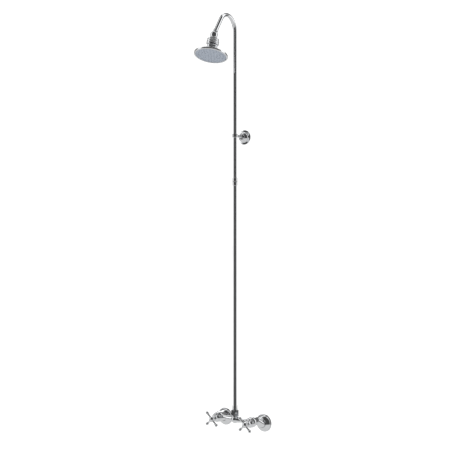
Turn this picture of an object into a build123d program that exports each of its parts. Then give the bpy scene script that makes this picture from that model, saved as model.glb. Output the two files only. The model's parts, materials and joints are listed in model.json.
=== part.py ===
"""Wall-mounted rainfall shower column: a two-handle mixer on offset unions, a slim riser with a
gooseneck, a wall bracket and a bell-shaped rain head on a ball joint.

Millimetres. The wall is the plane Y = 0 and the room is at -Y. The origin is midway between the two
supply inlets, on the wall. +Z is up and +X is to the right of someone who faces the wall.
"""

import os
from math import cos, radians, sin

from build123d import *

# ---- driving dimensions ----
INLET_X = 90.0  # half the distance between the supply inlets
VALVE_X = 76.0  # half the distance between the valves
VALVE_Z = 15.0  # height of the valves above the inlets
RISER_OUT = 68.0  # riser axis from the wall
TUBE_R = 8.0  # riser tube, outside radius
TUBE_BORE_R = 6.8
SOCKET_R = TUBE_R + 0.02  # a socket that the tube is brazed into
JOINT_Z = 933.0  # where the two lengths of riser meet
BRACKET_Z = 1111.0
SPRING_Z = 1513.0  # where the gooseneck starts to bend
BEND_R = 52.0  # gooseneck, radius of the tube's centre line
ARM_TILT = 34.0  # the arm's end, from the vertical
ARM_RUN = 81.5  # end of the bend to the centre of the ball
HEAD_TILT = 14.5  # the head's axis, from the vertical
BALL_R = 10.0
BALL_GAP = 0.06  # running clearance round the ball
NUT_BORE_R = 11.05  # swivel nut, at its thread
HEAD_R = 63.5  # rain head, outside radius of the rim

# stations along a valve, as distances from the wall
UNION_FACE = 50.0
TAIL_FACE = 52.0
SEAT = 66.0
BARREL_FRONT = 85.0
HUB_BACK = 105.5
SPOKES = 116.5
HUB_FRONT = 122.0

SPOKE_REACH = 30.0  # hub axis to the centre of a ball end
TUBE_END = 14.5  # centre of the ball back to the end of the bent tube
SPOKE_ANGLES = (45.0, 135.0, 225.0, 315.0)

# ---- places worked out from them ----
BEND_TURN = 180.0 - ARM_TILT
ARM_DIR = Vector(0, -sin(radians(ARM_TILT)), -cos(radians(ARM_TILT)))
HEAD_DIR = Vector(0, -sin(radians(HEAD_TILT)), -cos(radians(HEAD_TILT)))
BEND_END = Vector(
    0,
    -RISER_OUT - BEND_R * (1 - cos(radians(BEND_TURN))),
    SPRING_Z + BEND_R * sin(radians(BEND_TURN)),
)
BALL = BEND_END + ARM_DIR * ARM_RUN

RISER = Plane(origin=(0, -RISER_OUT, 0), x_dir=(1, 0, 0), z_dir=(0, 0, 1))
CROSSBAR = Plane(origin=(0, -RISER_OUT, VALVE_Z), x_dir=(0, 0, 1), z_dir=(1, 0, 0))
BRACKET = Plane(origin=(0, 0, BRACKET_Z), x_dir=(1, 0, 0), z_dir=(0, -1, 0))
ARM = Plane(origin=BALL, x_dir=(1, 0, 0), z_dir=ARM_DIR)
HEAD = Plane(origin=BALL, x_dir=(1, 0, 0), z_dir=HEAD_DIR)
SIDES = (("hot", -1), ("cold", 1))


def inlet_plane(side):
    """Local Z runs out of the wall along a supply inlet."""
    return Plane(origin=(side * INLET_X, 0, 0), x_dir=(1, 0, 0), z_dir=(0, -1, 0))


def valve_plane(side):
    """Local Z runs out of the wall along a valve."""
    return Plane(origin=(side * VALVE_X, 0, VALVE_Z), x_dir=(1, 0, 0), z_dir=(0, -1, 0))


def profile_plane(plane):
    """The plane to draw a turned profile on: X is the radius and Y the height along plane's Z."""
    return Plane(origin=plane.origin, x_dir=plane.x_dir, z_dir=plane.y_dir * -1)


def turn(plane, *points, mode=Mode.ADD):
    """Turns a closed outline of (radius, height) points about plane's Z axis."""
    with BuildSketch(profile_plane(plane)) as outline:
        with BuildLine():
            Polyline(*points, close=True)
        make_face()
    revolve(outline.sketch, axis=Axis(plane.origin, plane.z_dir), mode=mode)


def rod(plane, radius, low, high, mode=Mode.ADD):
    """A cylinder about plane's Z axis, between two heights."""
    turn(plane, (0, low), (radius, low), (radius, high), (0, high), mode=mode)


def ring(plane, inner, outer, low, high):
    """A plain ring or tube about plane's Z axis."""
    turn(plane, (inner, low), (outer, low), (outer, high), (inner, high))


def bore(plane, radius, low, high):
    rod(plane, radius, low, high, mode=Mode.SUBTRACT)


def hexagon_hole(plane, across_flats, low, high):
    with BuildSketch(plane.offset(low)) as section:
        RegularPolygon(across_flats / 2, 6, major_radius=False)
    extrude(section.sketch, amount=high - low, mode=Mode.SUBTRACT)


def hexagon(plane, across_flats, low, high, chamfer_size=1.6):
    """A hexagon bar about plane's Z axis, its corners turned off at both ends. It comes first in its
    part, because the turning cuts everything that is there."""
    with BuildSketch(plane.offset(low)) as section:
        RegularPolygon(across_flats / 2, 6, major_radius=False)
    extrude(section.sketch, amount=high - low)
    corner = across_flats / 2 * 1.1547 + 0.2
    rim = corner - chamfer_size
    drop = chamfer_size * 0.6
    turn(
        plane,
        (0, low), (rim, low), (corner, low + drop), (corner, high - drop), (rim, high), (0, high),
        mode=Mode.INTERSECT,
    )


def save(piece, label):
    piece.part.label = label
    export_step(piece.part, f"parts/{label}.step")


# ---- supply connections ----
def wall_flange(side):
    """Domed cover plate that hides the pipe's hole in the wall."""
    plane = inlet_plane(side)
    with BuildPart() as flange:
        with BuildSketch(profile_plane(plane)) as outline:
            with BuildLine():
                Line((32.3, 0), (34, 0))
                Line((34, 0), (34, 1.6))
                ThreePointArc((34, 1.6), (33.5, 2.9), (32.2, 3.4))
                Line((32.2, 3.4), (31, 3.4))
                Line((31, 3.4), (31, 4.8))
                ThreePointArc((31, 4.8), (26.4, 12.6), (15, 17.2))
                Line((15, 17.2), (13.7, 17.2))
                Line((13.7, 17.2), (13.7, 15.7))
                Line((13.7, 15.7), (15, 15.7))
                ThreePointArc((15, 15.7), (25.3, 11.4), (29.5, 4.8))
                Line((29.5, 4.8), (29.5, 1.9))
                Line((29.5, 1.9), (32.3, 1.9))
                Line((32.3, 1.9), (32.3, 0))
            make_face()
        revolve(axis=Axis(plane.origin, plane.z_dir))
    return flange


def offset_union(side):
    """Screws on to the supply pipe and carries the water inwards and up to the valve's axis."""
    wall, valve = inlet_plane(side), valve_plane(side)
    with BuildPart() as union:
        rod(wall, 13.5, 0, 20.5)
        with BuildSketch(wall.offset(20.5)):
            Circle(13.5)
        with BuildSketch(valve.offset(40)):
            Circle(11.5)
        loft()
        rod(valve, 11.5, 40, 48)
        rod(valve, 13.6, 47.5, UNION_FACE)
        bore(wall, 9.3, 0, 14)
        bore(wall, 7.0, 14, 17)
        with BuildSketch(wall.offset(17)):
            Circle(7.0)
        with BuildSketch(valve.offset(42)):
            Circle(7.0)
        loft(mode=Mode.SUBTRACT)
        bore(valve, 7.0, 42, UNION_FACE)
    return union


def union_nut(side):
    valve = valve_plane(side)
    with BuildPart() as nut:
        hexagon(valve, 31, 41, 57)
        bore(valve, 11.7, 41, 57)
        bore(valve, 14.0, 47, 57)
    return nut


def union_washer(side):
    with BuildPart() as washer:
        ring(valve_plane(side), 7.2, 13.5, UNION_FACE, TAIL_FACE)
    return washer


# ---- mixer casting ----
def mixer_body():
    """One casting: two valve barrels, the crossbar that joins them and the outlet for the riser."""
    bar_end = VALVE_X - 10
    with BuildPart() as body:
        for _, side in SIDES:
            valve = valve_plane(side)
            with BuildSketch(profile_plane(valve)):
                with BuildLine():
                    Line((0, TAIL_FACE), (13.95, TAIL_FACE))
                    Line((13.95, TAIL_FACE), (13.95, 58.5))
                    Line((13.95, 58.5), (17.5, 58.5))
                    Line((17.5, 58.5), (17.5, 60.5))
                    ThreePointArc((17.5, 60.5), (20.4, 68), (16.8, 76.5))
                    Line((16.8, 76.5), (18.6, 77.8))
                    Line((18.6, 77.8), (18.6, 83.4))
                    Line((18.6, 83.4), (17.4, BARREL_FRONT))
                    Line((17.4, BARREL_FRONT), (0, BARREL_FRONT))
                    Line((0, BARREL_FRONT), (0, TAIL_FACE))
                make_face()
            revolve(axis=Axis(valve.origin, valve.z_dir))
        with BuildSketch(profile_plane(CROSSBAR)):
            with BuildLine():
                Line((0, 0), (0, bar_end))
                Line((0, bar_end), (8.4, bar_end))
                Line((8.4, bar_end), (8.4, 56))
                ThreePointArc((8.4, 56), (10.7, 54), (8.4, 52))
                ThreePointArc((8.4, 52), (8.9, 32), (11.2, 14))
                Line((11.2, 14), (11.2, 0))
                Line((11.2, 0), (0, 0))
            make_face()
            mirror(about=Plane.XZ)
        revolve(axis=Axis(CROSSBAR.origin, CROSSBAR.z_dir))
        with Locations(CROSSBAR.origin):
            Sphere(15.0)
        rod(RISER, 11.5, VALVE_Z, 30)
        turn(RISER, (0, 28), (15.4, 28), (15.4, 31), (12.95, 31), (12.95, 42), (0, 42))
        for _, side in SIDES:
            valve = valve_plane(side)
            bore(valve, 7.5, TAIL_FACE, SEAT + 0.1)
            bore(valve, 13.0, SEAT, BARREL_FRONT)
        bore(CROSSBAR, 5.5, -bar_end, bar_end)
        bore(RISER, 8.0, VALVE_Z, 42)
    return body


# ---- ceramic quarter-turn valves ----
def seat_gasket(side):
    with BuildPart() as gasket:
        ring(valve_plane(side), 7.6, 9.6, SEAT, 68.5)
    return gasket


def ceramic_disc(side, low, high, port_angle):
    """A ported disc. The valve is shut while the ports of the two discs stand a quarter turn apart."""
    plane = valve_plane(side)
    with BuildPart() as disc:
        rod(plane, 9.6, low, high)
        with BuildSketch(plane.offset(low)):
            with PolarLocations(5.2, 2, start_angle=port_angle):
                Circle(2.6)
        extrude(amount=high - low, mode=Mode.SUBTRACT)
    return disc


def cartridge_body(side):
    """Screws into the barrel, cages the discs and guides the spindle."""
    plane = valve_plane(side)
    with BuildPart() as cartridge:
        turn(
            plane,
            (4.05, 79), (9.8, 79), (9.8, 66.1), (11.8, 66.1), (11.8, 76), (12.95, 76),
            (12.95, 85.1), (14.5, 85.1), (14.5, 87.5), (8.5, 87.5), (8.5, 99), (4.05, 99),
        )
        with BuildSketch(plane.offset(70)):
            Rectangle(40, 11)
        extrude(amount=4.5, mode=Mode.SUBTRACT)
    return cartridge


def spindle(side):
    """Drives the moving disc and carries the handle on its hexagon end."""
    plane = valve_plane(side)
    with BuildPart() as stem:
        hexagon(plane, 6.4, 104.9, 113, chamfer_size=0.5)
        turn(
            plane,
            (0, 74.6), (8.5, 74.6), (8.5, 78.5), (4, 78.5), (4, 90), (3.2, 90), (3.2, 91.8),
            (4, 91.8), (4, 105), (0, 105),
        )
        bore(plane, 2.05, 106, 113)
    return stem


def spindle_o_ring(side):
    with BuildPart() as o_ring:
        ring(valve_plane(side), 3.22, 4.03, 90.1, 91.7)
    return o_ring


def bonnet(side):
    """Bell-shaped cover over the cartridge."""
    plane = valve_plane(side)
    with BuildPart() as cover:
        with BuildSketch(profile_plane(plane)):
            with BuildLine():
                Line((15.2, 85.1), (17, 85.1))
                Line((17, 85.1), (17, 87.2))
                ThreePointArc((17, 87.2), (16.2, 88.6), (14.9, 89.2))
                ThreePointArc((14.9, 89.2), (11.6, 93.6), (10.4, 99.4))
                ThreePointArc((10.4, 99.4), (11.9, 101), (10.4, 102.6))
                Line((10.4, 102.6), (8.6, 104.4))
                Line((8.6, 104.4), (4.3, 104.4))
                Line((4.3, 104.4), (4.3, 100.2))
                Line((4.3, 100.2), (8.8, 100.2))
                ThreePointArc((8.8, 100.2), (10.2, 93.2), (13.6, 88.2))
                Line((13.6, 88.2), (15.2, 88.2))
                Line((15.2, 88.2), (15.2, 85.1))
            make_face()
        revolve(axis=Axis(plane.origin, plane.z_dir))
    return cover


def handle(side):
    """Cross handle: a turned hub and four spokes with ball ends."""
    plane = valve_plane(side)
    centre = plane.origin + plane.z_dir * SPOKES
    with BuildPart() as cross:
        with BuildSketch(profile_plane(plane)):
            with BuildLine():
                Line((0, HUB_BACK), (7.4, HUB_BACK))
                ThreePointArc((7.4, HUB_BACK), (8.6, 107), (7.4, 108.5))
                ThreePointArc((7.4, 108.5), (7.7, 110.5), (9.8, 111.8))
                Line((9.8, 111.8), (9.8, 121))
                ThreePointArc((9.8, 121), (9.5, 121.7), (8.8, HUB_FRONT))
                Line((8.8, HUB_FRONT), (0, HUB_FRONT))
                Line((0, HUB_FRONT), (0, HUB_BACK))
            make_face()
        revolve(axis=Axis(plane.origin, plane.z_dir))
        for angle in SPOKE_ANGLES:
            along = Vector(cos(radians(angle)), 0, sin(radians(angle)))
            spoke = Plane(origin=centre, x_dir=(0, 1, 0), z_dir=along)
            with BuildSketch(profile_plane(spoke)):
                with BuildLine():
                    Line((0, 5), (4.2, 5))
                    Line((4.2, 5), (4.2, 10))
                    ThreePointArc((4.2, 10), (3.3, 16), (4, 21.8))
                    Line((4, 21.8), (5, 22.6))
                    Line((5, 22.6), (5, 24))
                    Line((5, 24), (3.72, SPOKE_REACH - 4.96))
                    ThreePointArc(
                        (3.72, SPOKE_REACH - 4.96), (6.2, SPOKE_REACH), (0, SPOKE_REACH + 6.2)
                    )
                    Line((0, SPOKE_REACH + 6.2), (0, 5))
                make_face()
            revolve(axis=Axis(spoke.origin, spoke.z_dir))
        hexagon_hole(plane, 6.5, HUB_BACK, 113.2)
        bore(plane, 2.2, 113.1, 117.1)
        bore(plane, 6.0, 117, HUB_FRONT)
    return cross


def handle_screw(side):
    plane = valve_plane(side)
    with BuildPart() as screw:
        rod(plane, 2.0, 107, 117)
        turn(plane, (0, 117), (3.8, 117), (3.8, 118.4), (3.0, 119.2), (0, 119.2))
        with BuildSketch(plane.offset(119.2)):
            Rectangle(8, 0.9)
        extrude(amount=-1.1, mode=Mode.SUBTRACT)
    return screw


def index_button(side):
    """Porcelain button that snaps into the hub over the screw."""
    plane = valve_plane(side)
    dome_r = 14.8
    dome_centre = 125 - dome_r
    halfway = radians(15)
    with BuildPart() as button:
        rod(plane, 5.9, 119.4, HUB_FRONT + 0.2)
        with BuildSketch(profile_plane(plane)):
            with BuildLine():
                edge = (7.6, dome_centre + (dome_r**2 - 7.6**2) ** 0.5)
                Line((0, 122.1), (7.6, 122.1))
                Line((7.6, 122.1), edge)
                ThreePointArc(
                    edge, (dome_r * sin(halfway), dome_centre + dome_r * cos(halfway)), (0, 125)
                )
                Line((0, 125), (0, 122.1))
            make_face()
        revolve(axis=Axis(plane.origin, plane.z_dir))
    return button


# ---- riser ----
def riser_washer():
    with BuildPart() as washer:
        ring(RISER, 8.0, 12.7, 42, 44)
    return washer


def riser_tailpiece():
    """Collared ferrule brazed to the foot of the riser."""
    with BuildPart() as tail:
        turn(
            RISER,
            (TUBE_BORE_R, 44), (12.7, 44), (12.7, 47.5), (9.7, 47.5), (9.7, 65.5), (8.7, 69.5),
            (SOCKET_R, 69.5), (SOCKET_R, 52), (TUBE_BORE_R, 52),
        )
    return tail


def riser_nut():
    with BuildPart() as nut:
        hexagon(RISER, 28.5, 32, 53)
        bore(RISER, 9.9, 32, 53)
        bore(RISER, 13.0, 32, 47.9)
    return nut


def lower_riser():
    with BuildPart() as tube:
        ring(RISER, TUBE_BORE_R, TUBE_R, 52.1, JOINT_Z - 9)
    return tube


def lower_coupling_half():
    low, high = JOINT_Z - 15, JOINT_Z - 1
    with BuildPart() as half:
        turn(
            RISER,
            (SOCKET_R, low), (8.8, low), (9.6, low + 1), (9.6, high - 0.6), (9.2, high),
            (7.6, high), (7.6, low + 6.1), (SOCKET_R, low + 6.1),
        )
    return half


def coupling_o_ring():
    with BuildPart() as o_ring:
        ring(RISER, 7.7, 9.1, JOINT_Z - 1, JOINT_Z + 0.8)
    return o_ring


def upper_coupling_half():
    """Socket for the gooseneck tube, with a threaded spigot that screws into the lower half."""
    low, high = JOINT_Z + 0.8, JOINT_Z + 16
    with BuildPart() as half:
        turn(
            RISER,
            (5.5, JOINT_Z - 8), (7.55, JOINT_Z - 8), (7.55, low), (9.4, low), (10.1, low + 0.8),
            (10.1, low + 3.6), (9.6, low + 4.4), (9.6, high - 1), (8.8, high), (SOCKET_R, high),
            (SOCKET_R, low + 4.2), (5.5, low + 4.2),
        )
    return half


def upper_riser():
    """One bent tube: the upper riser, the gooseneck and the arm."""
    side = Plane(origin=(0, -RISER_OUT, 0), x_dir=(0, -1, 0), z_dir=(-1, 0, 0))
    start_z = JOINT_Z + 5.1
    with BuildPart() as tube:
        with BuildLine(side) as path:
            Line((0, start_z), (0, SPRING_Z))
            bend = JernArc((0, SPRING_Z), (0, 1), BEND_R, -BEND_TURN)
            Line(bend @ 1, (bend @ 1) + (bend % 1) * (ARM_RUN - TUBE_END))
        with BuildSketch(Plane(origin=(0, -RISER_OUT, start_z), x_dir=(1, 0, 0), z_dir=(0, 0, 1))):
            Circle(TUBE_R)
            Circle(TUBE_BORE_R, mode=Mode.SUBTRACT)
        sweep(path=path.line)
    return tube


# ---- wall bracket ----
def bracket_base():
    """Screws to the wall; the arm slides into its post."""
    with BuildPart() as base:
        rod(BRACKET, 17.5, 0, 3.5)
        rod(BRACKET, 8.5, 3.4, 22)
        bore(BRACKET, 5.05, 8, 22)
        with Locations(BRACKET.offset(3.5)):
            with GridLocations(25, 1, 2, 1):
                CounterSinkHole(2.3, 3.6, depth=3.5, counter_sink_angle=90)
        with Locations(Location((0, -16, BRACKET_Z - 5))):
            Cylinder(2.05, 8, mode=Mode.SUBTRACT, align=(Align.CENTER, Align.CENTER, Align.MAX))
    return base


def bracket_flange():
    with BuildPart() as flange:
        with BuildSketch(profile_plane(BRACKET)):
            with BuildLine():
                Line((27.6, 0), (29, 0))
                Line((29, 0), (29, 1.2))
                ThreePointArc((29, 1.2), (28.5, 2.2), (27.4, 2.6))
                Line((27.4, 2.6), (21, 3.6))
                Line((21, 3.6), (20.4, 4.6))
                ThreePointArc((20.4, 4.6), (18.0, 12.4), (11.6, 17.2))
                Line((11.6, 17.2), (11.6, 19.2))
                ThreePointArc((11.6, 19.2), (11.1, 20.2), (10, 20.6))
                Line((10, 20.6), (8.7, 20.6))
                Line((8.7, 20.6), (8.7, 16.4))
                Line((8.7, 16.4), (10.6, 15.9))
                ThreePointArc((10.6, 15.9), (16.7, 11.6), (19, 3.9))
                Line((19, 3.9), (19, 2.5))
                Line((19, 2.5), (27.6, 1.2))
                Line((27.6, 1.2), (27.6, 0))
            make_face()
        revolve(axis=Axis(BRACKET.origin, BRACKET.z_dir))
    return flange


def bracket_arm():
    with BuildPart() as arm:
        turn(
            BRACKET,
            (0, 8.2), (4.5, 8.2), (5, 8.8), (5, RISER_OUT - 16), (2.95, RISER_OUT - 16),
            (2.95, RISER_OUT - 10), (0, RISER_OUT - 10),
        )
    return arm


def bracket_ring():
    """Closed ring that slides over the riser, with a boss for the arm."""
    around = RISER.offset(BRACKET_Z)
    boss_start = RISER_OUT - 16
    with BuildPart() as clamp:
        turn(
            around,
            (0, -7), (10.6, -7), (11.6, -6), (11.6, 6), (10.6, 7), (0, 7),
        )
        turn(
            BRACKET,
            (0, boss_start), (6, boss_start), (6.8, boss_start + 0.8), (6.8, boss_start + 3),
            (5.6, boss_start + 4), (5.6, RISER_OUT - 8), (0, RISER_OUT - 8),
        )
        bore(around, TUBE_R + 0.05, -8, 8)
        bore(BRACKET, 3.0, boss_start, RISER_OUT - 9.6)
        with Locations(Plane(origin=(-5, -RISER_OUT, BRACKET_Z), z_dir=(-1, 0, 0))):
            Cylinder(2.05, 9, mode=Mode.SUBTRACT, align=(Align.CENTER, Align.CENTER, Align.MIN))
    return clamp


def set_screw(plane, length):
    """Headless screw with a hexagon socket, its point at plane's origin."""
    with BuildPart() as screw:
        turn(
            plane,
            (0, 0), (1.3, 0), (2.0, 0.7), (2.0, length - 0.3), (1.7, length), (0, length),
        )
        hexagon_hole(plane, 2.0, length - 1.4, length)
    return screw


# ---- ball joint ----
def arm_washer():
    with BuildPart() as washer:
        ring(ARM, 4.5, 7.9, -TUBE_END, 1.5 - TUBE_END)
    return washer


def ball_stud():
    """Socket on the arm's end, a neck and the ball that the head swivels on."""
    with BuildPart() as stud:
        with Locations(BALL):
            Sphere(BALL_R)
        rod(ARM, 5.2, -12, 0)
        turn(ARM, (0, -11.5), (8.2, -11.5), (9.0, -12.3), (9.0, -21.2), (8.6, -22), (0, -22))
        bore(ARM, SOCKET_R, -22, 1.5 - TUBE_END)
        bore(ARM, 3.5, 1.4 - TUBE_END, BALL_R + 1)
    return stud


def round_the_ball(low, high, outer):
    """A ring that fits the ball on its inside, between two heights along the head's axis."""
    reach = BALL_R + BALL_GAP
    middle = (low + high) / 2

    def on_ball(height):
        return ((reach**2 - height**2) ** 0.5, height)

    with BuildPart() as fitted:
        with BuildSketch(profile_plane(HEAD)):
            with BuildLine():
                Line(on_ball(low), (outer, low))
                Line((outer, low), (outer, high))
                Line((outer, high), on_ball(high))
                ThreePointArc(on_ball(high), on_ball(middle), on_ball(low))
            make_face()
        revolve(axis=Axis(HEAD.origin, HEAD.z_dir))
    return fitted


def swivel_nut():
    """Captures the ball and screws on to the head."""
    reach = BALL_R + BALL_GAP
    lip = (8.45, -((reach**2 - 8.45**2) ** 0.5))
    shoulder = ((reach**2 - 2.4**2) ** 0.5, -2.4)
    between = ((reach**2 - 4.0**2) ** 0.5, -4.0)
    with BuildPart() as nut:
        with BuildSketch(profile_plane(HEAD)):
            with BuildLine():
                Line(lip, (9.6, -7.2))
                ThreePointArc((9.6, -7.2), (12.7, -3.4), (13.8, 2))
                ThreePointArc((13.8, 2), (13.3, 7.8), (11.9, 13))
                Line((11.9, 13), (NUT_BORE_R, 13))
                Line((NUT_BORE_R, 13), (NUT_BORE_R, -2.4))
                Line((NUT_BORE_R, -2.4), shoulder)
                ThreePointArc(shoulder, between, lip)
            make_face()
        revolve(axis=Axis(HEAD.origin, HEAD.z_dir))
    return nut


# ---- rain head, with heights from the ball's centre along the head's axis ----
def head_collar():
    """Threaded inlet and ribbed drum above the bell."""
    with BuildPart() as collar:
        turn(
            HEAD,
            (0, 8.2), (11, 8.2), (11, 13.2), (8.4, 13.2), (8.4, 17.4), (13.6, 18.8), (18.2, 20),
            (18.2, 44.5), (12, 44.5), (12, 54.5), (0, 54.5),
        )
        turn(HEAD, (0, 8.1), (6.5, 8.1), (4.9, 10.2), (0, 10.2), mode=Mode.SUBTRACT)
        for height, reach in ((23.2, 17.8), (31.8, 19.3), (40.2, 19.1)):
            with BuildSketch(profile_plane(HEAD)):
                with Locations((reach, height)):
                    Circle(4.5)
            revolve(axis=Axis(HEAD.origin, HEAD.z_dir))
        bore(HEAD, 5.0, 8.2, 22.1)
        bore(HEAD, 9.0, 22, 54.5)
    return collar


def flow_restrictor():
    with BuildPart() as restrictor:
        ring(HEAD, 1.6, 4.95, 11, 14)
    return restrictor


def bell_gasket():
    with BuildPart() as gasket:
        ring(HEAD, 12.05, 17, 44.5, 45.5)
    return gasket


def bell():
    """Flared shell of the head, with a ledge inside its rim for the spray plate."""
    with BuildPart() as shell:
        with BuildSketch(profile_plane(HEAD)):
            with BuildLine():
                Line((12.1, 45.5), (19, 45.5))
                ThreePointArc((19, 45.5), (37.6, 64.1), (60.6, 80.7))
                ThreePointArc((60.6, 80.7), (62.9, 82.1), (HEAD_R, 84.1))
                Line((HEAD_R, 84.1), (HEAD_R, 87.5))
                Line((HEAD_R, 87.5), (HEAD_R - 0.6, 88.1))
                Line((HEAD_R - 0.6, 88.1), (62, 88.1))
                Line((62, 88.1), (62, 83.1))
                Line((62, 83.1), (56.5, 83.1))
                Line((56.5, 83.1), (56.5, 79.9))
                ThreePointArc((56.5, 79.9), (36.4, 65.3), (18, 47))
                Line((18, 47), (12.1, 47))
                Line((12.1, 47), (12.1, 45.5))
            make_face()
        revolve(axis=Axis(HEAD.origin, HEAD.z_dir))
    return shell


def collar_lock_nut():
    with BuildPart() as nut:
        hexagon(HEAD, 30, 47.1, 52.5, chamfer_size=1.2)
        bore(HEAD, 12.02, 47.1, 52.5)
    return nut


def plate_gasket():
    with BuildPart() as gasket:
        ring(HEAD, 55.3, 59.3, 83.1, 84.1)
    return gasket


JET_ROWS = ((0.0, 1), (11.5, 6), (23.0, 12), (34.5, 18), (46.0, 24))  # ring radius, jets in it


def jets(radius, low, high, taper=0.0, mode=Mode.ADD):
    """A round bar or hole at every jet, between two heights along the head's axis."""
    with BuildSketch(HEAD.offset(low)) as circles:
        for row_radius, count in JET_ROWS:
            with PolarLocations(row_radius, count):
                Circle(radius)
    extrude(circles.sketch, amount=high - low, taper=taper, mode=mode)


def spray_plate():
    with BuildPart() as plate:
        rod(HEAD, 59.4, 84.1, 86.3)
        jets(1.75, 84.1, 86.3, mode=Mode.SUBTRACT)
    return plate


def jet_mat():
    """Silicone mat behind the plate, with one nozzle through each hole."""
    with BuildPart() as mat:
        rod(HEAD, 55, 83.1, 84.1)
        jets(1.6, 84, 86.4)
        jets(1.6, 86.3, 88.1, taper=14)
        jets(0.5, 83.1, 88.5, mode=Mode.SUBTRACT)
    return mat


def face_ring():
    """Screws into the rim and holds the plate up against its gasket."""
    with BuildPart() as rim:
        turn(
            HEAD,
            (59.5, 83.3), (61.95, 83.3), (61.95, 88.5), (61.4, 89), (58.4, 89), (57.2, 87.8),
            (57.2, 86.4), (59.5, 86.4),
        )
    return rim


def build_all():
    os.makedirs("parts", exist_ok=True)
    for name, side in SIDES:
        save(wall_flange(side), f"{name}_wall_flange")
        save(offset_union(side), f"{name}_offset_union")
        save(union_nut(side), f"{name}_union_nut")
        save(union_washer(side), f"{name}_union_washer")
        save(seat_gasket(side), f"{name}_seat_gasket")
        save(ceramic_disc(side, 68.5, 71.5, 0), f"{name}_fixed_disc")
        save(ceramic_disc(side, 71.52, 74.5, 90), f"{name}_moving_disc")
        save(cartridge_body(side), f"{name}_cartridge_body")
        save(spindle(side), f"{name}_spindle")
        save(spindle_o_ring(side), f"{name}_spindle_o_ring")
        save(bonnet(side), f"{name}_bonnet")
        save(handle(side), f"{name}_handle")
        save(handle_screw(side), f"{name}_handle_screw")
        save(index_button(side), f"{name}_index_button")
    save(mixer_body(), "mixer_body")
    save(riser_washer(), "riser_washer")
    save(riser_tailpiece(), "riser_tailpiece")
    save(riser_nut(), "riser_nut")
    save(lower_riser(), "lower_riser")
    save(lower_coupling_half(), "lower_coupling_half")
    save(coupling_o_ring(), "coupling_o_ring")
    save(upper_coupling_half(), "upper_coupling_half")
    save(upper_riser(), "upper_riser")
    save(bracket_base(), "bracket_base")
    save(bracket_flange(), "bracket_flange")
    save(bracket_arm(), "bracket_arm")
    save(bracket_ring(), "bracket_ring")
    ring_side = Plane(origin=(-TUBE_R - 0.1, -RISER_OUT, BRACKET_Z), z_dir=(-1, 0, 0))
    save(set_screw(ring_side, 3.0), "bracket_ring_screw")
    post_underside = Plane(origin=(0, -16, BRACKET_Z - 5.05), z_dir=(0, 0, -1))
    save(set_screw(post_underside, 3.3), "bracket_arm_screw")
    save(arm_washer(), "arm_washer")
    save(ball_stud(), "ball_stud")
    save(round_the_ball(-2.3, 0.5, NUT_BORE_R - 0.1), "ball_seal")
    save(round_the_ball(0.7, 8.0, NUT_BORE_R - 0.1), "ball_seat")
    save(swivel_nut(), "swivel_nut")
    save(head_collar(), "head_collar")
    save(flow_restrictor(), "flow_restrictor")
    save(bell_gasket(), "bell_gasket")
    save(bell(), "bell")
    save(collar_lock_nut(), "collar_lock_nut")
    save(plate_gasket(), "plate_gasket")
    save(spray_plate(), "spray_plate")
    save(jet_mat(), "jet_mat")
    save(face_ring(), "face_ring")


build_all()
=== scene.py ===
import json
import math

import bmesh
import bpy
from mathutils import Matrix, Vector


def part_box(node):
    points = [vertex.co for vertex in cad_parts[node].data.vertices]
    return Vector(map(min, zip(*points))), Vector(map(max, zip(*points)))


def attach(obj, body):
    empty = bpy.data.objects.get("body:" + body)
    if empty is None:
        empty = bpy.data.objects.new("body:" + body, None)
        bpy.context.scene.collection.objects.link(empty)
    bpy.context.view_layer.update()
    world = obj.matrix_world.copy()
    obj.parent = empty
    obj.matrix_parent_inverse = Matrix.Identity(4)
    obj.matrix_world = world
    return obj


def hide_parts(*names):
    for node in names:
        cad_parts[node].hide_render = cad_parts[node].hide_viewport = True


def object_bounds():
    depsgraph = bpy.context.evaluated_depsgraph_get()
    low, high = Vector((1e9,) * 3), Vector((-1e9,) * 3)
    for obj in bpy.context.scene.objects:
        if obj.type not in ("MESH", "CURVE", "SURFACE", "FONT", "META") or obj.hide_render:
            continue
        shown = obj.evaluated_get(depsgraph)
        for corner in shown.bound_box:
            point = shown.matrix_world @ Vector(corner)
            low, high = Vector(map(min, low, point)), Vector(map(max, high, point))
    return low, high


bl_info = {
    "name": "Rain Shower Column",
    "version": (1, 0, 0),
    "blender": (4, 5, 0),
    "location": "3D View > Sidebar > Column",
    "description": "Builds the chrome pieces of an exposed shower column over its packed frame",
    "category": "Add Mesh",
}

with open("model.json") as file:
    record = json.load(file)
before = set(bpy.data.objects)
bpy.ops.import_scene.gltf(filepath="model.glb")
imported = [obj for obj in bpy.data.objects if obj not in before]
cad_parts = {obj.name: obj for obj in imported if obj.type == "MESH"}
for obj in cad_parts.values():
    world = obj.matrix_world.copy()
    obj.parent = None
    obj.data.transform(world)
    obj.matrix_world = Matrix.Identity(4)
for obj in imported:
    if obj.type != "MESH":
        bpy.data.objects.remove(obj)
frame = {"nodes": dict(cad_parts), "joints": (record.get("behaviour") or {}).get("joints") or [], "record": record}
CAD_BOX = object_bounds()

MM = 0.001
ROUND = 2 * math.pi
TUBE_WALL = 1.2
SOLDER_GAP = 0.02  # between the tube and the sockets it stands in
TUBE_END = 14.5  # from the ball's centre back to the end of the arm


# ---- places, read from the frame, in millimetres ----
def joint(name):
    return next(j for j in frame["joints"] if j["name"] == name)


def mount(name):
    return next(m for m in frame["record"]["mounts"] if m["name"] == name)


def in_mm(metres):
    return Vector(metres) / MM


def middle(node):
    low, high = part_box(node)
    return (low + high) / 2 / MM


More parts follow.
